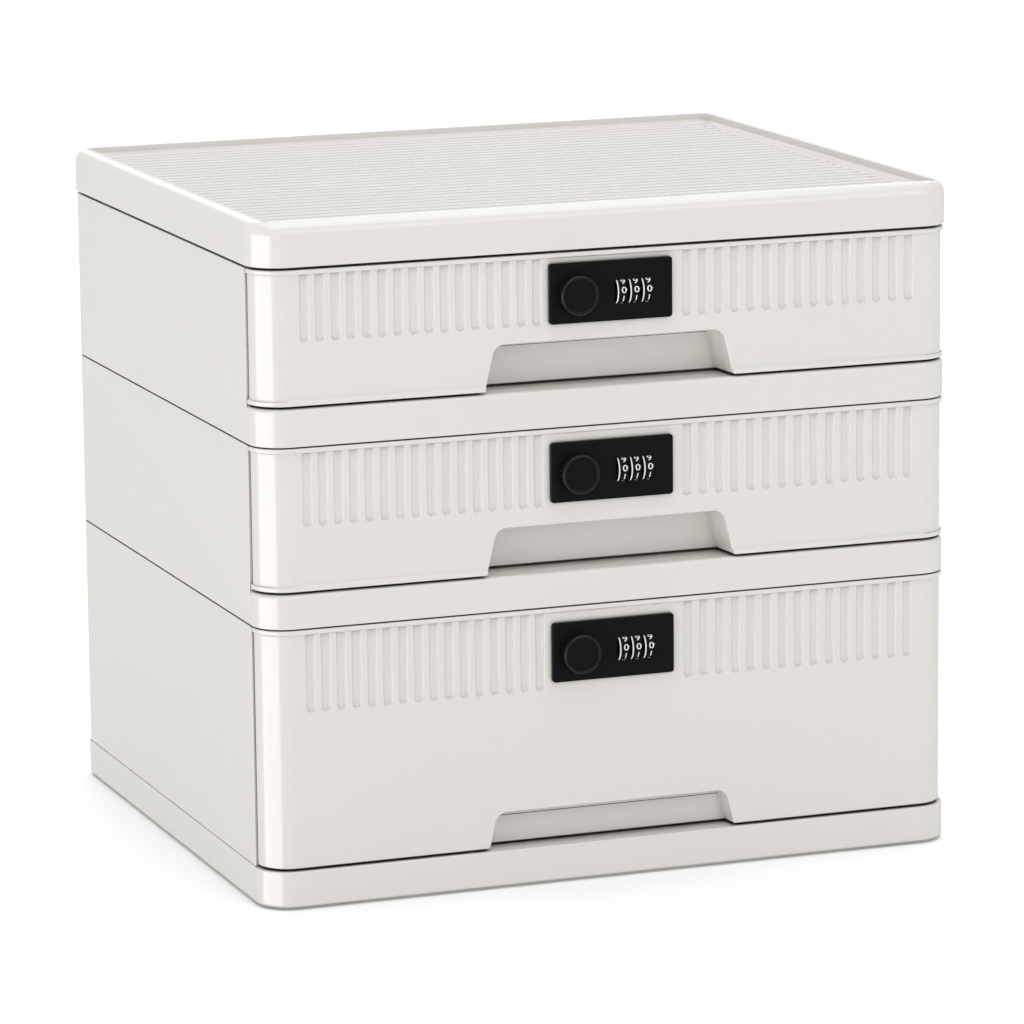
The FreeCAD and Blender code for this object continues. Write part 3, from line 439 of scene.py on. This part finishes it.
def typed_digit(digit):
    """A figure in Blender's own plain font, as flat faces in the XY plane."""
    text = bpy.data.curves.new("digit", "FONT")
    text.body = str(digit)
    text.resolution_u = DIGIT_CURVES
    text.offset = DIGIT_BOLD
    source = bpy.data.objects.new("digit", text)
    bpy.context.scene.collection.objects.link(source)
    mesh = evaluated_mesh(source)
    bpy.data.objects.remove(source)
    shape = bmesh.new()
    shape.from_mesh(mesh)
    return shape


def flat_digit(digit):
    """A figure in the XY plane, centred, at its real size and cut into strips."""
    shape = typed_digit(digit)
    xs = [vertex.co.x for vertex in shape.verts]
    ys = [vertex.co.y for vertex in shape.verts]
    stretch_x = DIGIT_WIDTH / (max(xs) - min(xs))
    stretch_y = DIGIT_HEIGHT / (max(ys) - min(ys))
    if digit == 1:                   # the narrow one keeps its own proportions
        stretch_x = stretch_y
    for vertex in shape.verts:
        vertex.co.x = (vertex.co.x - (max(xs) + min(xs)) / 2) * stretch_x
        vertex.co.y = (vertex.co.y - (max(ys) + min(ys)) / 2) * stretch_y
        vertex.co.z = 0
    for step in range(1, DIGIT_STRIPS):
        level = DIGIT_HEIGHT * (step / DIGIT_STRIPS - 0.5)
        bmesh.ops.bisect_plane(shape, geom=shape.verts[:] + shape.edges[:] + shape.faces[:],
                               plane_co=(0, level, 0), plane_no=(0, 1, 0))
    return shape


def ring_strip(radius):
    """A flat strip that wraps into the painted ring."""
    shape = bmesh.new()
    length = 2 * math.pi * radius
    rows = [[shape.verts.new((side, length * step / RING_STEPS, 0)) for side in
             (-RING_WIDTH / 2, RING_WIDTH / 2)] for step in range(RING_STEPS + 1)]
    for lower, upper in zip(rows, rows[1:]):
        shape.faces.new((lower[0], lower[1], upper[1], upper[0]))
    return shape


def wrapped(shape, x, angle, radius, axis):
    """A thick copy of a flat shape, bent round the wheel: its Y becomes an arc about the axis."""
    result = shape.copy()
    top = bmesh.ops.extrude_face_region(result, geom=result.faces[:])
    raised = [item for item in top["geom"] if isinstance(item, bmesh.types.BMVert)]
    for vertex in result.verts:
        vertex.co.z = radius - PAINT_DEEP
    for vertex in raised:
        vertex.co.z = radius + PAINT_PROUD
    for vertex in result.verts:
        turn = angle + vertex.co.y / radius
        vertex.co = Vector((x + vertex.co.x, axis.y - vertex.co.z * math.cos(turn),
                            axis.z + vertex.co.z * math.sin(turn)))
    bmesh.ops.recalc_face_normals(result, faces=result.faces)
    return result


def merged(shapes, name, material):
    """One object from several bmesh shapes, which it uses up."""
    total = bmesh.new()
    for shape in shapes:
        part = bpy.data.meshes.new("part")
        shape.to_mesh(part)
        total.from_mesh(part)
        bpy.data.meshes.remove(part)
        shape.free()
    mesh = bpy.data.meshes.new(name)
    total.to_mesh(mesh)
    total.free()
    return object_from(mesh, name, material)


def wheel_paint(tier, number, digits):
    """Figures and ring of one number wheel, as one piece."""
    low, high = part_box(wheel_node(tier, number))
    axis = (low + high) / 2
    radius = (high.z - low.z) / 2
    shapes = [wrapped(shape, axis.x + DIGIT_SIDE, READ_ANGLE - 2 * math.pi * digit / DIGITS,
                      radius, axis) for digit, shape in enumerate(digits)]
    strip = ring_strip(radius)
    shapes.append(wrapped(strip, low.x + RING_INSET + RING_WIDTH / 2, 0, radius, axis))
    strip.free()
    paint = merged(shapes, "%s_wheel_%d_figures" % (tier, number), PAINT)
    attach(paint, "%s_wheel_%d" % (tier, number))


flat_digits = [flat_digit(digit) for digit in range(DIGITS)]
for tier in TIERS:
    for number in WHEELS:
        wheel_paint(tier, number, flat_digits)
for shape in flat_digits:
    shape.free()


# ---------------------------------------------------------------------------------------------
# Index marks on the plates, right of each wheel at reading height
# ---------------------------------------------------------------------------------------------
MARK_WIDTH = 0.8 * MM
MARK_HEIGHT = 0.9 * MM
MARK_GAP = 0.55 * MM             # from the wheel's right face to the mark's tip


def index_mark(x, y, z):
    """A small painted triangle that points left, on a plate whose face lies at y."""
    shape = bmesh.new()
    corners = ((x, z), (x + MARK_WIDTH, z - MARK_HEIGHT / 2), (x + MARK_WIDTH, z + MARK_HEIGHT / 2))
    front = [shape.verts.new((at, y - PAINT_PROUD, up)) for at, up in corners]
    back = [shape.verts.new((at, y + PAINT_DEEP, up)) for at, up in corners]
    shape.faces.new(front)
    shape.faces.new(back)
    for here in range(len(corners)):
        after = (here + 1) % len(corners)
        shape.faces.new((front[here], front[after], back[after], back[here]))
    bmesh.ops.recalc_face_normals(shape, faces=shape.faces)
    return shape


def index_marks(tier):
    """The marks of one lock, as one piece."""
    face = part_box(tier + "_lock_plate")[0].y
    shapes = []
    for number in WHEELS:
        low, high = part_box(wheel_node(tier, number))
        level = (low.z + high.z) / 2 + (high.z - low.z) / 2 * math.sin(READ_ANGLE)
        shapes.append(index_mark(high.x + MARK_GAP, face, level))
    marks = merged(shapes, tier + "_index_marks", MARK_PAINT)
    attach(marks, tier + "_drawer")


for tier in TIERS:
    index_marks(tier)


# ---------------------------------------------------------------------------------------------
# Camera.  Its angles are in degrees, and azimuths are counted from the front to the right.
# ---------------------------------------------------------------------------------------------
IMAGE = 1024
SENSOR = 36.0                    # millimetres, as Blender's camera counts them
CAMERA_AZIMUTH = -20.41
CAMERA_ELEVATION = 11.18
CAMERA_ROLL = -0.59
CAMERA_DISTANCE = 2.688
CAMERA_FOCAL = 5509.3            # in pixels of the image
CAMERA_TARGET = Vector((-0.0124, -0.0421, 0.1589))
CAMERA_REACH = 50                # metres that the camera sees


def direction(azimuth, elevation):
    """Unit vector towards an azimuth and an elevation, both in degrees."""
    a, e = math.radians(azimuth), math.radians(elevation)
    return Vector((math.sin(a) * math.cos(e), -math.cos(a) * math.cos(e), math.sin(e)))


def camera():
    """Camera at the photograph's viewing angle."""
    back = direction(CAMERA_AZIMUTH, CAMERA_ELEVATION)
    right = (-back).cross(Vector((0, 0, 1))).normalized()
    up = right.cross(-back)
    data = bpy.data.cameras.new("camera")
    data.sensor_width = SENSOR
    data.lens = CAMERA_FOCAL / IMAGE * SENSOR
    data.clip_end = CAMERA_REACH
    view = bpy.data.objects.new("camera", data)
    bpy.context.scene.collection.objects.link(view)
    roll = math.radians(CAMERA_ROLL)
    tilted_right = right * math.cos(roll) + up * math.sin(roll)
    tilted_up = up * math.cos(roll) - right * math.sin(roll)
    turn = Matrix((tilted_right, tilted_up, back)).transposed().to_4x4()
    view.matrix_world = Matrix.Translation(CAMERA_TARGET + back * CAMERA_DISTANCE) @ turn
    bpy.context.scene.camera = view


# ---------------------------------------------------------------------------------------------
# Floor and light
# ---------------------------------------------------------------------------------------------
FLOOR_HALF = 6.0
FLOOR_ROUGHNESS = 0.9
FLOOR_PATCH_SCALE = 1.2
FLOOR_DARK = grey(0.96)
FLOOR_LIGHT = grey(0.97)
TABLE_NEAR = 0.6                 # up to this distance the table glows a little
NEAR_GLOW = 0.13
TABLE_FAR = 2.0                  # from this distance on it glows more, for white surroundings
FAR_GLOW = 0.42
OBJECT_MIDDLE = Vector((0, 0, 0.16))


def floor():
    """Plain pale floor."""
    half = FLOOR_HALF
    mesh = bpy.data.meshes.new("floor")
    mesh.from_pydata([(-half, -half, 0), (half, -half, 0), (half, half, 0), (-half, half, 0)],
                     [], [(0, 1, 2, 3)])
    material, nodes, links, shader = new_material("pale_floor")
    coords = object_coordinates(nodes)
    patches = noise(nodes, links, coords, FLOOR_PATCH_SCALE)
    links.new(tint(nodes, links, patches, FLOOR_DARK, FLOOR_LIGHT), shader.inputs["Base Color"])
    shader.inputs["Roughness"].default_value = FLOOR_ROUGHNESS
    shader.inputs["Emission Color"].default_value = (*grey(1), 1)
    away = nodes.new("ShaderNodeVectorMath")
    away.operation = "LENGTH"
    links.new(coords, away.inputs[0])
    glow = nodes.new("ShaderNodeMapRange")
    glow.inputs["From Min"].default_value = TABLE_NEAR
    glow.inputs["From Max"].default_value = TABLE_FAR
    glow.inputs["To Min"].default_value = NEAR_GLOW
    glow.inputs["To Max"].default_value = FAR_GLOW
    links.new(away.outputs["Value"], glow.inputs["Value"])
    links.new(glow.outputs["Result"], shader.inputs["Emission Strength"])
    ground = object_from(mesh, "floor", material)
    ground.visible_glossy = False        # gloss shows the soft boxes, not the table


def world(strength):
    """Even white surroundings."""
    surroundings = bpy.data.worlds.new("studio")
    surroundings.use_nodes = True
    background = surroundings.node_tree.nodes["Background"]
    background.inputs["Color"].default_value = (*grey(1), 1)
    background.inputs["Strength"].default_value = strength
    bpy.context.scene.world = surroundings


def softbox(name, azimuth, elevation, distance, width, height, power):
    """A rectangular soft light that faces the object; its power is in watts."""
    data = bpy.data.lights.new(name, "AREA")
    data.shape = "RECTANGLE"
    data.size = width
    data.size_y = height
    data.energy = power
    lamp = bpy.data.objects.new(name, data)
    bpy.context.scene.collection.objects.link(lamp)
    out = direction(azimuth, elevation)
    lamp.location = OBJECT_MIDDLE + out * distance
    lamp.rotation_euler = out.to_track_quat("Z", "Y").to_euler()


camera()
floor()
world(strength=0.66)
softbox("left", azimuth=-74, elevation=-14, distance=2.4, width=3.0, height=1.9, power=45)
softbox("top", azimuth=0, elevation=84, distance=2.4, width=2.2, height=2.2, power=23)
softbox("back", azimuth=160, elevation=44, distance=2.4, width=2.4, height=2.4, power=15)
softbox("front", azimuth=15, elevation=30, distance=3.0, width=2.4, height=1.3, power=8)
bpy.context.scene.view_settings.view_transform = "Standard"
